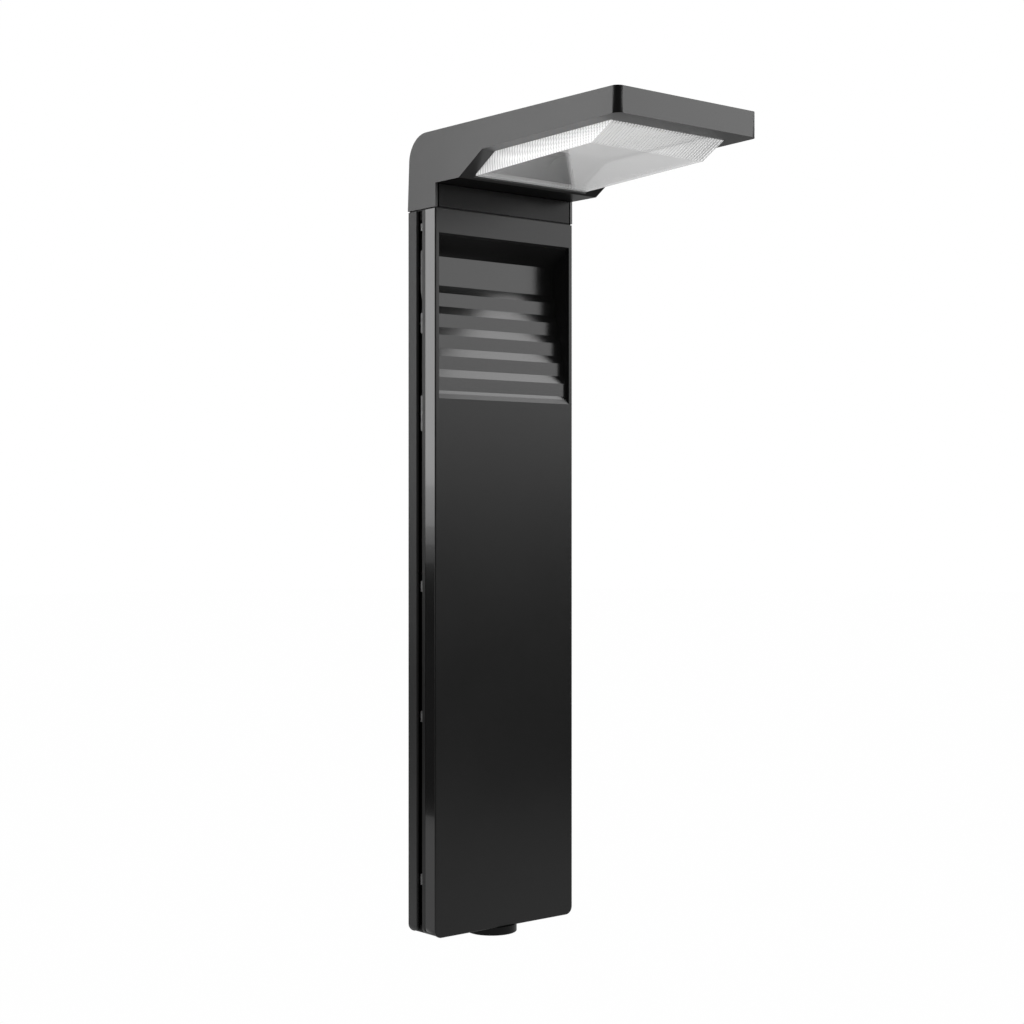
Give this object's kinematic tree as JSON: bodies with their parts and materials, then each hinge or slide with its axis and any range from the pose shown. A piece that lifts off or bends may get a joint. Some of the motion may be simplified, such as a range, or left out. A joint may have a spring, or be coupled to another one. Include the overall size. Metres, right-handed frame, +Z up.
{
  "type": "bollard light",
  "caption": "Flat two-shell bollard light with a stepped recess in its face and an overhanging lamp head with a prismatic lens, on a round threaded hub.",
  "frame": {"origin": "on the hub's axis, in the plane of the column's foot, centred in the column's section", "axes": "+Z up along the column, -Y the way the head reaches out over the path, +X to the right as seen from behind the front face; the part mirrors across the X = 0 plane outside, the leads inside don't"},
  "size_m": [0.2, 0.3413, 0.8895],
  "materials": {
    "coated_aluminium": "satin graphite-black powder coat on aluminium",
    "gloss_strip": "high-gloss black strip",
    "lens_clear": "clear prismatic acrylic with fine vertical flutes",
    "rubber_black": "matt black EPDM",
    "mill_aluminium": "mill-finish aluminium",
    "zinc_steel": "zinc-plated steel",
    "white_plastic": "matt white moulded plastic",
    "grey_plastic": "grey moulded plastic",
    "board_white": "white solder mask over an aluminium-core board",
    "emitter_yellow": "silicone over yellow phosphor",
    "lead_black": "black PVC-sheathed lead"
  },
  "bodies": {
    "root": {"baffle_nuts": "zinc_steel", "baffle_pads": "zinc_steel", "base_hub": "coated_aluminium", "base_plate": "mill_aluminium", "board_connector": "white_plastic", "board_screws": "zinc_steel", "column_cap": "mill_aluminium", "driver_lead": "lead_black", "driver_screws": "zinc_steel", "earth_nut": "zinc_steel", "earth_terminal": "zinc_steel", "front_shell": "coated_aluminium", "gap_spacers": "zinc_steel", "gear_tray": "mill_aluminium", "head_bolts": "zinc_steel", "head_housing": "coated_aluminium", "head_lead": "lead_black", "heat_plate": "mill_aluminium", "heat_plate_screws": "zinc_steel", "hub_screws": "zinc_steel", "inlet_grommet": "rubber_black", "joint_gasket": "rubber_black", "lead_clips": "grey_plastic", "lead_gland": "rubber_black", "led_board": "board_white", "led_driver": "white_plastic", "led_emitters": "emitter_yellow", "left_rail": "mill_aluminium", "left_trim": "gloss_strip", "lens": "lens_clear", "lens_clamp_screws": "zinc_steel", "lens_clamps": "zinc_steel", "lens_gasket": "rubber_black", "neck_plate": "coated_aluminium", "neck_plate_screws": "zinc_steel", "pad_screws": "zinc_steel", "rail_screws": "zinc_steel", "rear_shell": "coated_aluminium", "rear_shell_screws": "zinc_steel", "recess_baffle": "coated_aluminium", "reflector_tray": "white_plastic", "right_rail": "mill_aluminium", "right_trim": "gloss_strip", "spacer_screws": "zinc_steel", "surge_lead": "lead_black", "surge_protector": "grey_plastic", "terminal_block": "grey_plastic", "tray_screws": "zinc_steel"}
  },
  "joints": []
}
